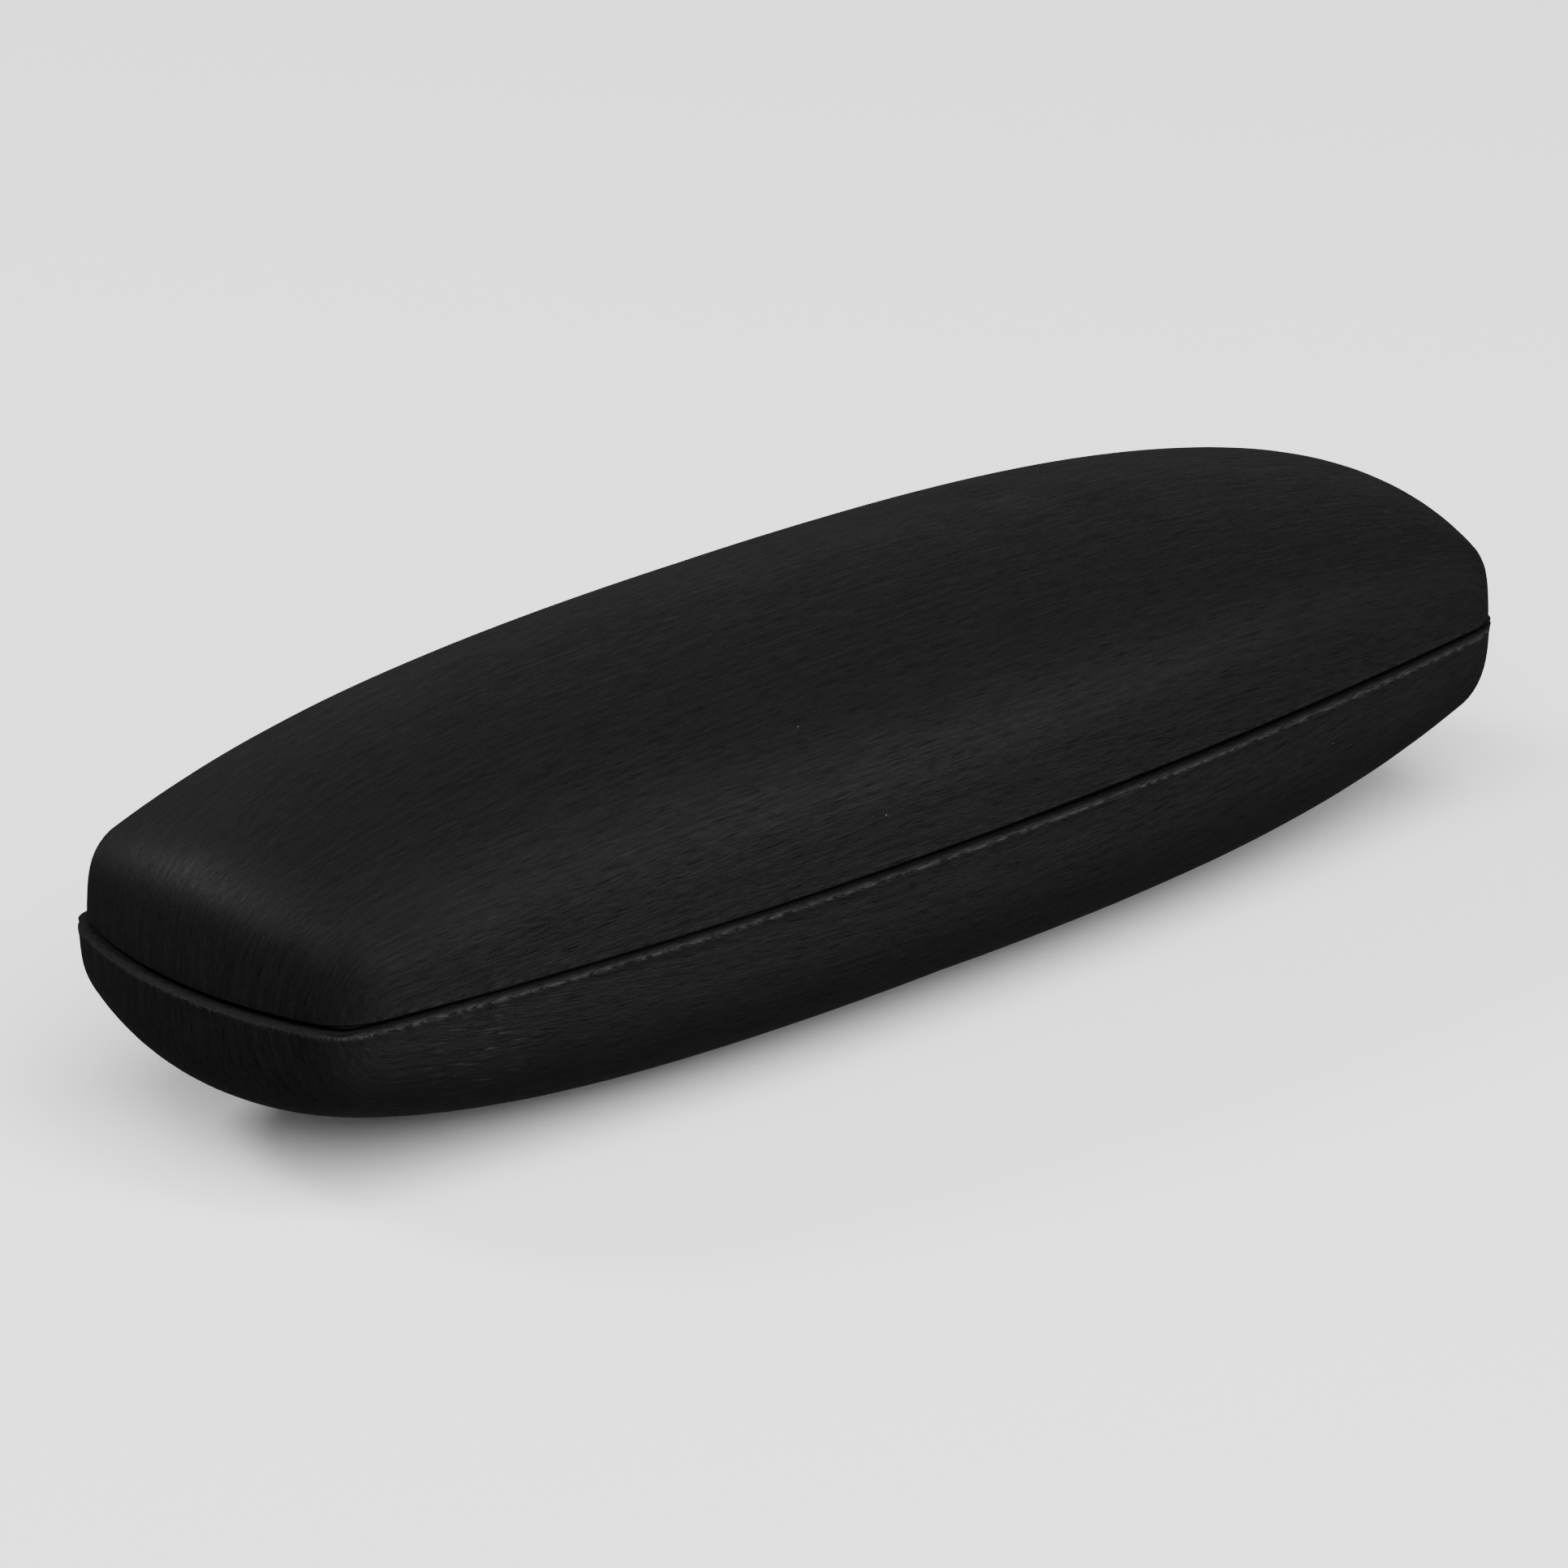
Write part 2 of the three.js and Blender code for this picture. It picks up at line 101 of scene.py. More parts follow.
# ---- The outside, in millimetres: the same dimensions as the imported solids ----
HALF_LENGTH = 80
HALF_WIDTH = 25.6
SIDE_BOW = 6.4
END_BOW = 7.3
CORNER_RADIUS = 3
MIN_CORNER = 1.4
RIM_HEIGHT = 19.4
TOP_HEIGHT = 39.2
TOP_FALL = {"ends": 3.6, "tips": 5.9, "sides": 6.5}
UNDERSIDE_RISE = {"ends": 2.25, "tips": 7.1, "sides": 6.8}
FOOT_SINK = 1
BASE_WALL = {"depth": 22, "power": 4.6}
LID_WALL = {"depth": 20, "power": 6}
LID_INSET = 0.38
LID_SHIFT = 0.45
RIM_GAP = 0.35
SPINE_LENGTH = 0.62
LINER_CORNER = 4

# ---- The layers, as insets from the outside ----
COVER_INNER = 0.9
TURN_IN = {"outer": 1.9, "inner": 2.6, "start": 2.5, "depth": 5}
WALL_END = {"outer": 1.35, "inner": 1}  # the wall's rows keep this far from the rim
RIM_ROWS = [1.25, 0.95, 0.7]
BEAD = 0.9
RIM_RADIUS = {"base": 0.45, "lid": 0.3}  # the folds are tighter outside than inside
# The base's fold stands a little proud of the wall.
BEAD_BULGE = {"amount": 0.1, "centre": 0.35, "reach": 0.9, "depth": 0.5}
# Both halves spread a little at their ends, next to the rim.
FLARE = {"amount": 0.65, "reach": 9, "from": 60, "depth": 1.7}
# How far the lid's front edge sits above its plane, from the left end of the case to the right.
LID_EDGE_PLACES = [0, 0.05, 0.12, 0.3, 0.45, 0.6, 0.85, 0.95, 1]
LID_EDGE_LIFTS = [0, 0, -0.17, -0.2, -0.05, 0.08, 0.08, 0, 0]
LID_EDGE_REACH = 7
LID_EDGE_FRONT = 12  # the edge is lifted in full from this far in front of the middle
# The worn line along each rim, which is also a painted highlight that is brightest on faces looking to the
# front: how strong it is, how far from the rim, and how much at least behind.
EDGE_WEAR_AND_HIGHLIGHT = {"base": 1, "lid": 0.15}
WEAR_AND_HIGHLIGHT_LINE = {"centre": 0.3, "reach": 0.28, "least": 0.3}
# A scuffed patch low on the front: full within the core, gone at its reach.
SCUFF = {"centre": (-61, -21, 15), "core": 1, "reach": 9}
LINING = {"outer": 3.75, "inner": 4.65}
LINING_FOLD = {"edge": 2.75, "top": 1.15, "bottom": 1.68, "radius": 0.4}
LINING_CLEAR = 0.05  # from the wall's rows to the fold

# ---- The hinge ----
AXIS_Y = HALF_WIDTH + 0.2
AXIS_Z = RIM_HEIGHT + RIM_GAP / 2
SLOT = {"half_length": 29.2, "half_height": 1.9}
NOTCH = {"half_length": 30.6, "half_height": 8.2, "depth": 9}
GUSSET = {"half_length": 30.4, "half_height": 8, "crown": 0.7, "thickness": 0.5}

# ---- How finely the curves are cut ----
SIDE_STEPS = 44
CORNER_STEPS = 12
END_STEPS = 22
WALL_ANGLES = [8, 13, 18, 23, 27, 31, 34, 37, 39.5, 42, 44, 46, 48, 50.5, 53, 56, 60, 65]
CROWN_SHARES = [0.12, 0.25, 0.4, 0.55, 0.7, 0.85, 1]
BEAD_STEPS = 7
GUSSET_GRID = (67, 43)
SHARP_ANGLE = {"wrap": 40, "lining": 50}


def arc(centre, radius, start, end, steps):
    angles = np.linspace(start, end, steps + 1)
    x = centre[0] + radius * np.cos(angles)
    y = centre[1] + radius * np.sin(angles)
    return np.column_stack([x, y])


class Layer:
    """One layer of one half: a bowl at an inset from the outside, sampled ray by ray."""

    def __init__(self, half, inset, corner=None):
        self.is_lid = half == "lid"
        self.up = 1 if self.is_lid else -1
        self.inset = inset
        wall = LID_WALL if self.is_lid else BASE_WALL
        self.power = wall["power"]
        self.wall_depth = wall["depth"] - inset
        self.rim = RIM_HEIGHT + (RIM_GAP if self.is_lid else 0)
        self.shift = LID_SHIFT if self.is_lid else 0
        wanted = CORNER_RADIUS - inset if corner is None else corner
        self.make_plan(inset + (LID_INSET if self.is_lid else 0), max(wanted, MIN_CORNER))
        self.outline = self.make_outline()

    def make_plan(self, inset, corner):
        full_side = (HALF_LENGTH**2 + SIDE_BOW**2) / (2 * SIDE_BOW)
        full_end = (HALF_WIDTH**2 + END_BOW**2) / (2 * END_BOW)
        self.corner = corner
        self.side_centre = np.array([0, HALF_WIDTH - full_side])
        self.end_centre = np.array([HALF_LENGTH - full_end, 0])
        self.side_reach = full_side - inset - corner
        self.end_reach = full_end - inset - corner
        between = self.end_centre - self.side_centre
        gap = np.hypot(*between)
        along = (self.side_reach**2 - self.end_reach**2 + gap**2) / (2 * gap)
        aside = math.sqrt(self.side_reach**2 - along**2)
        unit = between / gap
        across = np.array([unit[1], -unit[0]])
        self.corner_centre = self.side_centre + unit * along + across * aside

    def make_outline(self):
        def heading(centre):
            away = self.corner_centre - centre
            return math.atan2(away[1], away[0])

        side_end = heading(self.side_centre)
        end_start = heading(self.end_centre)
        side_radius = self.side_reach + self.corner
        end_radius = self.end_reach + self.corner
        side = arc(self.side_centre, side_radius, math.pi / 2, side_end, SIDE_STEPS)
        corner = arc(self.corner_centre, self.corner, side_end, end_start, CORNER_STEPS)
        end = arc(self.end_centre, end_radius, end_start, 0, END_STEPS)
        first = np.vstack([side, corner[1:], end[1:]])
        return np.vstack(
            [
                first,
                (first * [1, -1])[::-1][1:],
                (first * [-1, -1])[1:],
                (first * [-1, 1])[::-1][1:-1],
            ]
        )

    def depth_inside(self, places):
        x, y = np.abs(places[:, 0]), np.abs(places[:, 1])
        u = self.side_reach - np.hypot(x - self.side_centre[0], y - self.side_centre[1])
        v = self.end_reach - np.hypot(x - self.end_centre[0], y - self.end_centre[1])
        outside = self.corner - np.hypot(u, v)
        deep = self.corner + u + v - np.hypot(u, v)
        between = self.corner + np.minimum(u, v)
        return np.where((u <= 0) & (v <= 0), outside, np.where((u > 0) & (v > 0), deep, between))

    def on_rays(self, shares):
        x = self.outline[:, 0] * (1 + (SPINE_LENGTH - 1) * shares)
        y = self.outline[:, 1] * (1 - shares)
        return np.column_stack([x, y])

    def crossing(self, test):
        """Where along each ray a test first turns true."""
        low, high = np.zeros(len(self.outline)), np.ones(len(self.outline))
        for _ in range(40):
            middle = (low + high) / 2
            done = test(middle)
            high = np.where(done, middle, high)
            low = np.where(done, low, middle)
        return high

    def share_at_depth(self, depth):
        return self.crossing(lambda s: self.depth_inside(self.on_rays(s)) >= depth)

    def surface(self, shares):
        places = self.on_rays(shares)
        fall = TOP_FALL if self.is_lid else UNDERSIDE_RISE
        along, across = places[:, 0] / HALF_LENGTH, places[:, 1] / HALF_WIDTH
        drop = fall["ends"] * along**2 + fall["tips"] * along**4 + fall["sides"] * across**2
        if self.is_lid:
            crown = TOP_HEIGHT - drop - self.inset
        else:
            crown = drop - FOOT_SINK + self.inset
        depth = np.clip(self.depth_inside(places) / self.wall_depth, 0, 1)
        rise = (1 - (1 - depth) ** self.power) ** (1 / self.power)
        height = self.rim + rise * (crown - self.rim)
        if not self.is_lid:
            height = np.maximum(height, self.inset)
        return np.column_stack([places[:, 0] + self.shift, places[:, 1], height])

    def depth_at_angle(self, degrees):
        c, s = math.cos(math.radians(degrees)), math.sin(math.radians(degrees))
        return self.wall_depth * (1 - c / (c**self.power + s**self.power) ** (1 / self.power))

    def rim_row(self, distance):
        places = self.on_rays(np.zeros(len(self.outline)))
        if distance > 0:
            shares = self.crossing(lambda s: self.up * (self.surface(s)[:, 2] - self.rim) >= distance)
            places = self.on_rays(shares)
        height = np.full(len(places), self.rim + self.up * distance)
        return np.column_stack([places[:, 0] + self.shift, places[:, 1], height])

    def bowl_rows(self, clear=0.0):
        """All rows from the spine out to the last row of the wall, kept this far from the rim."""
        first = self.share_at_depth(self.depth_at_angle(WALL_ANGLES[-1]))
        crown = [self.surface(first + (1 - first) * part) for part in reversed(CROWN_SHARES)]
        depths = [self.depth_at_angle(angle) for angle in reversed(WALL_ANGLES)]
        rows = crown + [self.surface(self.share_at_depth(depth)) for depth in depths]
        for row in rows:
            row[:, 2] = self.rim + self.up * np.maximum(self.up * (row[:, 2] - self.rim), clear)
        return rows


def rounded(half, insets, heights, corner=None):
    """Rows of a rounded edge, given as insets and distances from the rim."""
    return [Layer(half, i, corner).rim_row(h) for i, h in zip(insets, heights)]


def quarter(start, end):
    """The steps of a quarter turn between two levels, leaving the first level at a right angle."""
    turns = np.linspace(0, math.pi / 2, BEAD_STEPS + 1)
    return start + (end - start) * (1 - np.cos(turns)), start + (end - start) * np.sin(turns)


# ---- Meshes ----
def make_object(name, points, faces, body, material, replaces=()):
    """points in millimetres"""
    mesh = bpy.data.meshes.new(name)
    mesh.from_pydata((np.asarray(points) * MM).tolist(), [], faces)
    obj = bpy.data.objects.new(name, mesh)
    bpy.context.scene.collection.objects.link(obj)
    mesh.materials.append(material)
    tidy_mesh(obj)
    if replaces:
        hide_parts(*replaces)
    if body:
        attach(obj, body)
    return obj


def tidy_mesh(obj):
    """Merges doubled points, points every face outwards and shades it smooth."""
    bm = bmesh.new()
    bm.from_mesh(obj.data)
    bmesh.ops.remove_doubles(bm, verts=bm.verts, dist=1e-6)
    bmesh.ops.dissolve_degenerate(bm, edges=bm.edges, dist=1e-7)
    bmesh.ops.recalc_face_normals(bm, faces=bm.faces)
    for face in bm.faces:
        face.smooth = True
    bm.to_mesh(obj.data)
    bm.free()


def ring_faces(rows, count):
    faces = []
    for r in range(rows - 1):
        for j in range(count):
            k = (j + 1) % count
            faces.append((r * count + j, r * count + k, (r + 1) * count + k, (r + 1) * count + j))
    return faces


def cut_box(obj, low, high):
    """Cuts a box, given in millimetres, out of an object."""
    mesh = bpy.data.meshes.new("cutter")
    bm = bmesh.new()
    bmesh.ops.create_cube(bm, size=1)
    low, high = np.array(low) * MM, np.array(high) * MM
    for vert in bm.verts:
        vert.co = Vector((low + high) / 2) + Vector((high - low) * np.array(vert.co))
    bm.to_mesh(mesh)
    bm.free()
    cutter = bpy.data.objects.new("cutter", mesh)
    bpy.context.scene.collection.objects.link(cutter)
    modifier = obj.modifiers.new("cut", "BOOLEAN")
    modifier.operation = "DIFFERENCE"
    modifier.solver = "EXACT"
    modifier.object = cutter
    graph = bpy.context.evaluated_depsgraph_get()
    result = bpy.data.meshes.new_from_object(obj.evaluated_get(graph))
    obj.modifiers.remove(modifier)
    obj.data = result
    bpy.data.objects.remove(cutter)


def sharpen(obj, degrees):
    """Marks the edges steeper than this as sharp, so that smooth shading stops at them."""
    bm = bmesh.new()
    bm.from_mesh(obj.data)
    for edge in bm.edges:
        if len(edge.link_faces) == 2:
            edge.smooth = edge.calc_face_angle(0) < math.radians(degrees)
    bm.to_mesh(obj.data)
    bm.free()


def store(obj, name, values):
    attribute = obj.data.attributes.new(name, "FLOAT_VECTOR", "POINT")
    attribute.data.foreach_set("vector", np.asarray(values, np.float32).ravel())


def vertices(obj):
    count = len(obj.data.vertices)
    points, normals = np.zeros(count * 3), np.zeros(count * 3)
    obj.data.vertices.foreach_get("co", points)
    obj.data.vertices.foreach_get("normal", normals)
    return points.reshape(-1, 3) / MM, normals.reshape(-1, 3)


def store_drape(obj, half):
    """Lays the grain over the shell: along the case on top and in front, and down over the ends.

    drape holds the place along and across the grain, in millimetres, and how worn the edge is; that wear
    also paints a highlight along the rim, strongest on faces that look to the front.
    """
    points, normals = vertices(obj)
    if half == "lid":
        away = TOP_HEIGHT - points[:, 2]
        rim = RIM_HEIGHT + RIM_GAP
    else:
        away = points[:, 2]
        rim = RIM_HEIGHT
    along = points[:, 0] + away * normals[:, 0]
    across = points[:, 1] + away * normals[:, 1]
    from_rim = np.abs(points[:, 2] - rim)
    outwards = points[:, 0] * normals[:, 0] / HALF_LENGTH + points[:, 1] * normals[:, 1] / HALF_WIDTH
    # Faces that look to the front, towards the lamps, get the most of the painted rim highlight.
    front = np.clip(-normals[:, 1], WEAR_AND_HIGHLIGHT_LINE["least"], 1)
    line = np.exp(-(((from_rim - WEAR_AND_HIGHLIGHT_LINE["centre"]) / WEAR_AND_HIGHLIGHT_LINE["reach"]) ** 2))
    wear_and_highlight = line * (outwards > 0) * EDGE_WEAR_AND_HIGHLIGHT[half] * front
    store(obj, "drape", np.column_stack([along, across, wear_and_highlight]))


# ---- Materials ----
class Nodes:
    """A short way to write a node tree."""

    def __init__(self, name):
        self.material = bpy.data.materials.new(name)
        self.material.use_nodes = True
        self.tree = self.material.node_tree
        self.tree.nodes.clear()
        self.output = self.tree.nodes.new("ShaderNodeOutputMaterial")
        self.shader = self.tree.nodes.new("ShaderNodeBsdfPrincipled")
        self.link(self.shader.outputs[0], self.output.inputs["Surface"])

    def link(self, source, target):
        self.tree.links.new(source, target)

    def set(self, name, value):
        self.feed(self.shader.inputs[name], value)

    def feed(self, socket, value):
        if isinstance(value, bpy.types.NodeSocket):
            self.link(value, socket)
        else:
            socket.default_value = value

    def attribute(self, name):
        node = self.tree.nodes.new("ShaderNodeAttribute")
        node.attribute_name = name
        return node.outputs["Vector"]

    def place(self):
        """The place on the model, in millimetres."""
        metres = self.tree.nodes.new("ShaderNodeTexCoord").outputs["Object"]
        return self.scaled(metres, (1000, 1000, 1000))

    def scaled(self, vector, scale):
        node = self.tree.nodes.new("ShaderNodeVectorMath")
        node.operation = "MULTIPLY"
        self.link(vector, node.inputs[0])
        node.inputs[1].default_value = scale
        return node.outputs["Vector"]

    def distance(self, vector, centre):
        node = self.tree.nodes.new("ShaderNodeVectorMath")
        node.operation = "DISTANCE"
        self.link(vector, node.inputs[0])
        node.inputs[1].default_value = centre
        return node.outputs["Value"]

    def split(self, vector):
        node = self.tree.nodes.new("ShaderNodeSeparateXYZ")
        self.link(vector, node.inputs[0])
        return node.outputs

    def join(self, x, y, z):
        node = self.tree.nodes.new("ShaderNodeCombineXYZ")
        for socket, value in zip(node.inputs, (x, y, z)):
            self.feed(socket, value)
        return node.outputs[0]

    def noise(self, vector, detail=2.0, roughness=0.5, scale=1.0):
        node = self.tree.nodes.new("ShaderNodeTexNoise")
        self.link(vector, node.inputs["Vector"])
        node.inputs["Scale"].default_value = scale
        node.inputs["Detail"].default_value = detail
        node.inputs["Roughness"].default_value = roughness
        return node.outputs["Fac"]

    def voronoi(self, vector, scale):
        node = self.tree.nodes.new("ShaderNodeTexVoronoi")
        self.link(vector, node.inputs["Vector"])
        node.inputs["Scale"].default_value = scale
        return node.outputs["Distance"], node.outputs["Color"]

    def math(self, operation, a, b=0.0):
        node = self.tree.nodes.new("ShaderNodeMath")
        node.operation = operation
        self.feed(node.inputs[0], a)
        self.feed(node.inputs[1], b)
        return node.outputs[0]

    def map(self, value, from_low, from_high, to_low, to_high):
        node = self.tree.nodes.new("ShaderNodeMapRange")
        self.link(value, node.inputs["Value"])
        limits = ("From Min", "From Max", "To Min", "To Max")
        for name, limit in zip(limits, (from_low, from_high, to_low, to_high)):
            node.inputs[name].default_value = limit
        return node.outputs["Result"]

    def mix(self, factor, a, b):
        node = self.tree.nodes.new("ShaderNodeMix")
        node.data_type = "RGBA"
        self.feed(node.inputs["Factor"], factor)
        self.feed(node.inputs["A"], a)
        self.feed(node.inputs["B"], b)
        return node.outputs["Result"]

    def bump(self, height, distance, strength=1.0, normal=None):
        node = self.tree.nodes.new("ShaderNodeBump")
        self.link(height, node.inputs["Height"])
        node.inputs["Distance"].default_value = distance
        node.inputs["Strength"].default_value = strength
        if normal is not None:
            self.link(normal, node.inputs["Normal"])
        return node.outputs["Normal"]


def leatherette_material():
    n = Nodes("leatherette")
    along, across, wear_and_highlight = n.split(n.attribute("drape"))

    def grain(per_along, per_across, level, detail=2, roughness=0.5):
        """Noise that is stretched along the grain; the numbers are features per millimetre."""
        place = n.join(n.math("MULTIPLY", along, per_along), n.math("MULTIPLY", across, per_across), level)
        return n.noise(place, detail, roughness)

    # The brushed grain: fine streaks over broader ones, in patches of stronger and weaker brushing.
    fine = grain(0.5, 5.5, 0.0, 3, 0.6)
    broad = grain(0.12, 1.6, 3.0)
    mottle = grain(3.4, 5.2, 9.0, 2, 0.6)
    patches = grain(0.03, 0.07, 5.0)
    streaks = n.math("ADD", n.math("MULTIPLY", fine, 0.5), n.math("MULTIPLY", broad, 0.25))
    streaks = n.math("ADD", streaks, n.math("MULTIPLY", mottle, 0.25))
    level = n.map(streaks, 0.38, 0.62, 0.0, 1.0)
    # A few dark cuts along the grain, away from the ends, and specks of dust.
    place = n.place()
    from_middle = n.math("ABSOLUTE", n.split(place)[0])
    cuts = n.map(grain(0.22, 4.0, 17.0, 1), 0.67, 0.72, 0, 1)
    cuts = n.math("MULTIPLY", cuts, n.map(from_middle, 55, 65, 1, 0))
    distance, colour = n.voronoi(place, 0.16)
    chosen, _, _ = n.split(colour)
    dust = n.math("MULTIPLY", n.math("LESS_THAN", distance, 0.0135), n.math("GREATER_THAN", chosen, 0.6))
    # The fold over the base's rim is burnished in short slanting ticks, painted pale: partly wear, partly
    # a painted highlight along the rim.
    slant = n.math("ADD", n.math("MULTIPLY", along, 1.3), n.math("MULTIPLY", across, -1.8))
    ticks = n.map(n.noise(n.join(slant, across, 2.0), 2, 0.6), 0.46, 0.56, 0.0, 1.0)
    rubbed_and_highlight = n.math("MULTIPLY", wear_and_highlight, ticks)
    body = n.mix(level, (0.0014, 0.0014, 0.00145, 1), (0.006, 0.006, 0.0062, 1))
    body = n.mix(cuts, body, (0.001, 0.001, 0.001, 1))
    # Paints the rubbed rim pale: wear and a painted highlight.
    body = n.mix(n.math("MULTIPLY", rubbed_and_highlight, 0.6), body, (0.045, 0.045, 0.045, 1))
    # One scuffed patch low on the front.
    near_scuff = n.map(n.distance(place, SCUFF["centre"]), SCUFF["core"], SCUFF["reach"], 1, 0)
    scratches = n.map(grain(0.3, 3.0, 31.0, 2, 0.6), 0.58, 0.66, 0, 0.7)
    body = n.mix(n.math("MULTIPLY", scratches, near_scuff), body, (0.016, 0.016, 0.016, 1))
    n.set("Base Color", n.mix(dust, body, (0.07, 0.07, 0.068, 1)))
    rough = n.math("ADD", n.map(level, 0.0, 1.0, 0.64, 0.46), n.map(patches, 0.3, 0.7, -0.04, 0.04))
    n.set("Roughness", n.math("SUBTRACT", rough, n.math("MULTIPLY", rubbed_and_highlight, 0.12)))
    n.set("Specular IOR Level", 0.12)
    height = n.math("SUBTRACT", n.math("MULTIPLY", level, 0.35), n.math("MULTIPLY", cuts, 0.5))
    n.set("Normal", n.bump(height, 0.00008))
    return n.material


def velour_material():
    n = Nodes("velour")
    place = n.place()
    pile = n.noise(place, 3, 0.65, 7)
    nap = n.noise(place, 2, 0.5, 0.2)
    tone = n.math("ADD", n.math("MULTIPLY", pile, 0.8), n.math("MULTIPLY", nap, 0.2))
    shade = n.map(tone, 0.38, 0.62, 0, 1)
    n.set("Base Color", n.mix(shade, (0.006, 0.006, 0.0066, 1), (0.022, 0.0222, 0.024, 1)))
    n.set("Roughness", 0.95)
    n.set("Specular IOR Level", 0.15)
    n.set("Sheen Weight", 0.14)
    n.set("Sheen Roughness", 0.45)
    n.set("Sheen Tint", (0.5, 0.5, 0.53, 1))
    n.set("Normal", n.bump(pile, 0.00015, 1.0))
    return n.material


def steel_material(name, dark, light, roughness, metallic, grain):
    """grain gives how many streaks a millimetre holds along X, Y and Z"""
    n = Nodes(name)
    place = n.place()
    streaks = n.noise(n.scaled(place, grain), 3, 0.6)
    stains = n.noise(place, 3, 0.55, 0.25)
    tone = n.math("ADD", n.math("MULTIPLY", streaks, 0.5), n.math("MULTIPLY", stains, 0.5))
    n.set("Base Color", n.mix(n.map(tone, 0.35, 0.65, 0, 1), dark, light))
    n.set("Metallic", metallic)
    n.set("Roughness", n.map(tone, 0.3, 0.7, roughness + 0.1, roughness - 0.08))
    n.set("Normal", n.bump(streaks, 0.00002, 0.6))
    return n.material


def board_material():
    n = Nodes("liner_board")
    place = n.place()
    fibres = n.noise(n.scaled(place, (0.8, 2.2, 2.2)), 4, 0.65)
    flecks = n.noise(place, 2, 0.5, 3.0)
    tone = n.math("ADD", n.math("MULTIPLY", fibres, 0.6), n.math("MULTIPLY", flecks, 0.4))
    shade = n.map(tone, 0.35, 0.65, 0, 1)
    n.set("Base Color", n.mix(shade, (0.07, 0.056, 0.044, 1), (0.17, 0.145, 0.12, 1)))
    n.set("Roughness", n.map(tone, 0.3, 0.7, 0.95, 0.8))
    n.set("Normal", n.bump(fibres, 0.0001, 0.7))
    return n.material


LEATHERETTE = leatherette_material()
VELOUR = velour_material()
PRESSED_STEEL = steel_material(
    "pressed_steel", (0.34, 0.35, 0.36, 1), (0.6, 0.61, 0.62, 1), 0.35, 1.0, (0.3, 5, 5)
)
HINGE_STEEL = steel_material(
    "hinge_steel", (0.02, 0.02, 0.022, 1), (0.055, 0.056, 0.06, 1), 0.36, 0.85, (4, 0.6, 0.6)
)
BOARD = board_material()
SLOT_MATERIALS = {
    "leatherette": LEATHERETTE,
    "velour": VELOUR,
    "pressed_steel": PRESSED_STEEL,
    "hinge_steel": HINGE_STEEL,
    "liner_board": BOARD,
}


# ---- The wrapped outside ----
def cover_rows(half):
    outer, inner = Layer(half, 0), Layer(half, COVER_INNER)
    fold_outer = Layer(half, TURN_IN["outer"])
    fold_inner = Layer(half, TURN_IN["inner"])
    radius = RIM_RADIUS[half]
    bead_insets, bead_heights = quarter(0, radius)
    inside_insets, inside_heights = quarter(0, BEAD)
    return [
        *outer.bowl_rows(WALL_END["outer"]),
        *[outer.rim_row(distance) for distance in RIM_ROWS],
        *rounded(half, bead_insets, radius - bead_heights),
        *rounded(half, TURN_IN["inner"] - inside_insets[::-1], BEAD - inside_heights[::-1]),
        fold_inner.rim_row(TURN_IN["start"]),
        fold_inner.rim_row(TURN_IN["depth"]),
        fold_outer.rim_row(TURN_IN["depth"]),
        fold_outer.rim_row(BEAD),
        inner.rim_row(BEAD),
        *reversed(inner.bowl_rows(WALL_END["inner"])),
    ]


def bend_lid_edge(points):
    """Raises and lowers the front edge of the lid a little, so that the gap under it varies."""
    share = (points[:, 0] + HALF_LENGTH) / (2 * HALF_LENGTH)
    lift = np.interp(share, LID_EDGE_PLACES, LID_EDGE_LIFTS)
    above = points[:, 2] - RIM_HEIGHT - RIM_GAP
    fade = np.clip(1 - above / LID_EDGE_REACH, 0, 1) ** 2
    front = np.clip(-points[:, 1] / LID_EDGE_FRONT, 0, 1)
    return points + np.outer(lift * fade * front, [0, 0, 1])


def ease(value):
    value = np.clip(value, 0, 1)
    return value * value * (3 - 2 * value)


def swell_base_edge(points):
    """Pushes the fold over the base's rim outwards into a low bead."""
    below = RIM_HEIGHT - points[:, 2]
    swell = ease(1 - np.abs(below - BEAD_BULGE["centre"]) / BEAD_BULGE["reach"])
    outside = Layer("base", 0).depth_inside(points[:, :2]) < BEAD_BULGE["depth"]
    away = (points[:, :2] / [HALF_LENGTH, HALF_WIDTH]) ** 3
    away /= np.hypot(away[:, 0], away[:, 1])[:, None] + 1e-9
    push = away * (BEAD_BULGE["amount"] * swell * outside)[:, None]
    return points + np.column_stack([push, np.zeros(len(points))])


def flare_ends(points, half):
    """Spreads the outside of the end walls, most at the rim."""
    layer = Layer(half, 0)
    depth = layer.depth_inside(points[:, :2] - [layer.shift, 0])
    near_rim = ease(1 - np.abs(points[:, 2] - layer.rim) / FLARE["reach"])
    near_end = ease((np.abs(points[:, 0]) - FLARE["from"]) / (HALF_LENGTH - FLARE["from"]))
    near_outside = np.clip(1 - depth / FLARE["depth"], 0, 1)
    push = FLARE["amount"] * near_rim * near_end * near_outside * np.sign(points[:, 0])
    return points + np.outer(push, [1, 0, 0])


def make_cover(half):
    rows = cover_rows(half)
    points = np.vstack(rows)
    if half == "lid":
        points = bend_lid_edge(points)
    else:
        points = swell_base_edge(points)
    points = flare_ends(points, half)
    faces = ring_faces(len(rows), len(rows[0]))
    obj = make_object(
        f"{half}_wrap", points, faces, None, LEATHERETTE, [f"{half}_cover"]
    )
    cut_box(
        obj,
        (-SLOT["half_length"], AXIS_Y - NOTCH["depth"], AXIS_Z - SLOT["half_height"]),
        (SLOT["half_length"], AXIS_Y + NOTCH["depth"], AXIS_Z + SLOT["half_height"]),
    )
    sharpen(obj, SHARP_ANGLE["wrap"])
    store_drape(obj, half)
    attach(obj, half)
    return obj


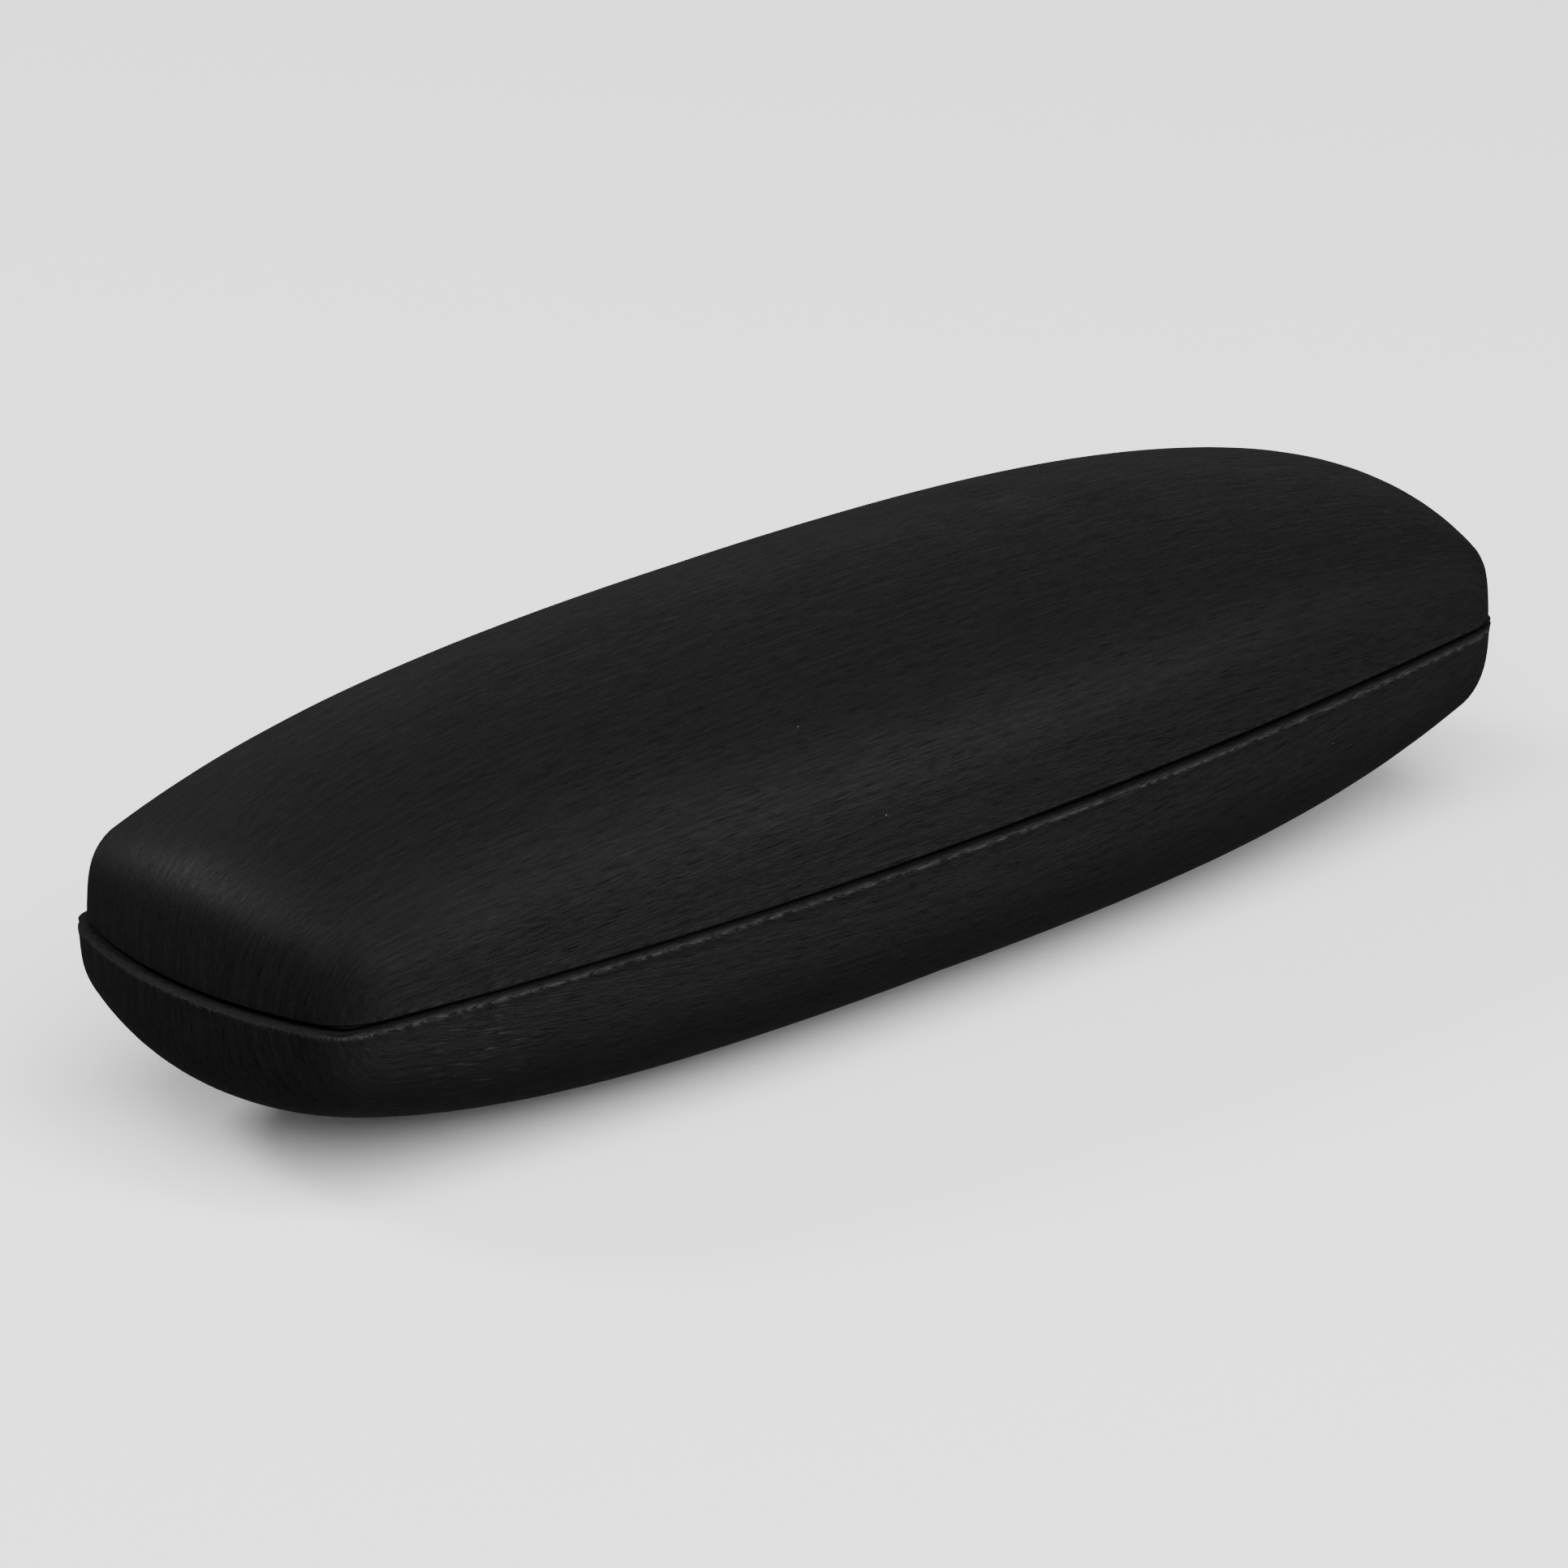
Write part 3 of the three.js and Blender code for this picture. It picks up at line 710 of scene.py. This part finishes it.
# ---- The linings, which wrap over the edge of the board ----
def lining_rows(half):
    inner = Layer(half, LINING["inner"], LINER_CORNER)
    outer = Layer(half, LINING["outer"], LINER_CORNER)
    radius, top = LINING_FOLD["radius"], LINING_FOLD["top"]
    away, level = quarter(0, radius)
    return [
        *inner.bowl_rows(top + radius + LINING_CLEAR),
        *rounded(half, LINING["inner"] - away, top + radius - level, LINER_CORNER),
        *rounded(half, LINING_FOLD["edge"] + away[::-1], top + radius - level[::-1], LINER_CORNER),
        *rounded(half, [LINING_FOLD["edge"]], [LINING_FOLD["bottom"]], LINER_CORNER),
        outer.rim_row(LINING_FOLD["bottom"]),
        *reversed(outer.bowl_rows(LINING_FOLD["bottom"] + LINING_CLEAR)),
    ]


def make_lining(half):
    rows = lining_rows(half)
    faces = ring_faces(len(rows), len(rows[0]))
    obj = make_object(
        f"{half}_velour", np.vstack(rows), faces, None, VELOUR, [f"{half}_lining"]
    )
    cut_box(
        obj,
        (-NOTCH["half_length"], AXIS_Y - NOTCH["depth"], AXIS_Z - NOTCH["half_height"]),
        (NOTCH["half_length"], AXIS_Y, AXIS_Z + NOTCH["half_height"]),
    )
    sharpen(obj, SHARP_ANGLE["lining"])
    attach(obj, half)
    return obj


def wall_line(half, inset, below, xs):
    """How far back the rear wall of a layer is at a distance from the rim, along X."""
    row = Layer(half, inset, LINER_CORNER).rim_row(below)
    row = row[row[:, 1] > 0]
    row = row[np.argsort(row[:, 0])]
    return np.interp(xs, row[:, 0], row[:, 1])


def make_gusset():
    """A strip of velour in front of the hinge, glued to both linings."""
    across, down = GUSSET_GRID
    half_x, half_z = GUSSET["half_length"], GUSSET["half_height"]
    xs, zs = np.linspace(-half_x, half_x, across), np.linspace(-half_z, half_z, down)
    points = []
    for layer in (0, 1):
        for z in zs:
            # The strip is level with the linings along its edges, and swells between them.
            swell = GUSSET["crown"] * (1 - (z / half_z) ** 4) * (1 - (xs / half_x) ** 6)
            swell += GUSSET["thickness"] * (layer - 1)
            below = max(abs(z) - RIM_GAP / 2, 0)
            wall = wall_line("lid" if z > 0 else "base", LINING["inner"], below, xs)
            wall = np.minimum(wall, wall_line("lid", LINING["inner"], 0, xs))
            points += [(x, y, AXIS_Z + z) for x, y in zip(xs, wall - swell)]
    faces = []

    def grid(layer, i, j):
        return (layer * down + i) * across + j

    for layer in (0, 1):
        for i in range(down - 1):
            for j in range(across - 1):
                corners = ((i, j), (i, j + 1), (i + 1, j + 1), (i + 1, j))
                faces.append(tuple(grid(layer, *corner) for corner in corners))
    border = [(0, j) for j in range(across)] + [(i, across - 1) for i in range(1, down)]
    border += [(down - 1, j) for j in range(across - 2, -1, -1)]
    border += [(i, 0) for i in range(down - 2, 0, -1)]
    for here, there in zip(border, border[1:] + border[:1]):
        faces.append((grid(0, *here), grid(0, *there), grid(1, *there), grid(1, *here)))
    obj = make_object("gusset_strip", points, faces, None, VELOUR, ["hinge_gusset"])
    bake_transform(obj)
    return obj


# ---- Floor and light ----
def make_floor():
    mesh = bpy.data.meshes.new("floor")
    size = 3
    corners = [(-size, -size, 0), (size, -size, 0), (size, size, 0), (-size, size, 0)]
    mesh.from_pydata(corners, [], [(0, 1, 2, 3)])
    floor = bpy.data.objects.new("floor", mesh)
    floor.visible_glossy = False  # keeps its glare off the underside
    bpy.context.scene.collection.objects.link(floor)
    n = Nodes("floor")
    n.set("Base Color", (0.92, 0.92, 0.92, 1))
    n.set("Roughness", 0.9)
    n.set("Specular IOR Level", 0.1)
    mesh.materials.append(n.material)


def make_area_light(name, direction, distance, width, height, power, glossy=True):
    data = bpy.data.lights.new(name, "AREA")
    data.shape = "RECTANGLE"
    data.size = width
    data.size_y = height
    data.energy = power
    light = bpy.data.objects.new(name, data)
    bpy.context.scene.collection.objects.link(light)
    away = Vector(direction).normalized()
    light.location = TARGET + away * distance
    light.rotation_euler = away.to_track_quat("Z", "Y").to_euler()
    light.visible_glossy = glossy


def make_world(strength):
    world = bpy.data.worlds.new("studio")
    world.use_nodes = True
    background = world.node_tree.nodes["Background"]
    background.inputs["Color"].default_value = (1, 1, 1, 1)
    background.inputs["Strength"].default_value = strength
    bpy.context.scene.world = world


for half in ("base", "lid"):
    make_cover(half)
    make_lining(half)
make_gusset()

for part in frame["record"]["subparts"]:
    node = NODES[part["node"]]
    node.data.materials.clear()
    node.data.materials.append(SLOT_MATERIALS[part["material_slot"]])

make_floor()
make_area_light("key_light", (-0.35, -0.45, 0.82), 1.5, 1.8, 1.8, 66, glossy=False)
make_area_light("front_light", (0.3, -0.7, 0.8), 1.2, 0.3, 1.9, 14)
make_area_light("front_low_light", (0.4, -0.9, 0.07), 1.2, 0.35, 0.16, 7)
make_area_light("end_light", (-0.36, 0.68, 0.6), 1.2, 0.32, 0.26, 9)
make_area_light("back_light", (0.6, 0.72, 0.3), 1.5, 1.2, 0.5, 0.8)
make_world(0.11)
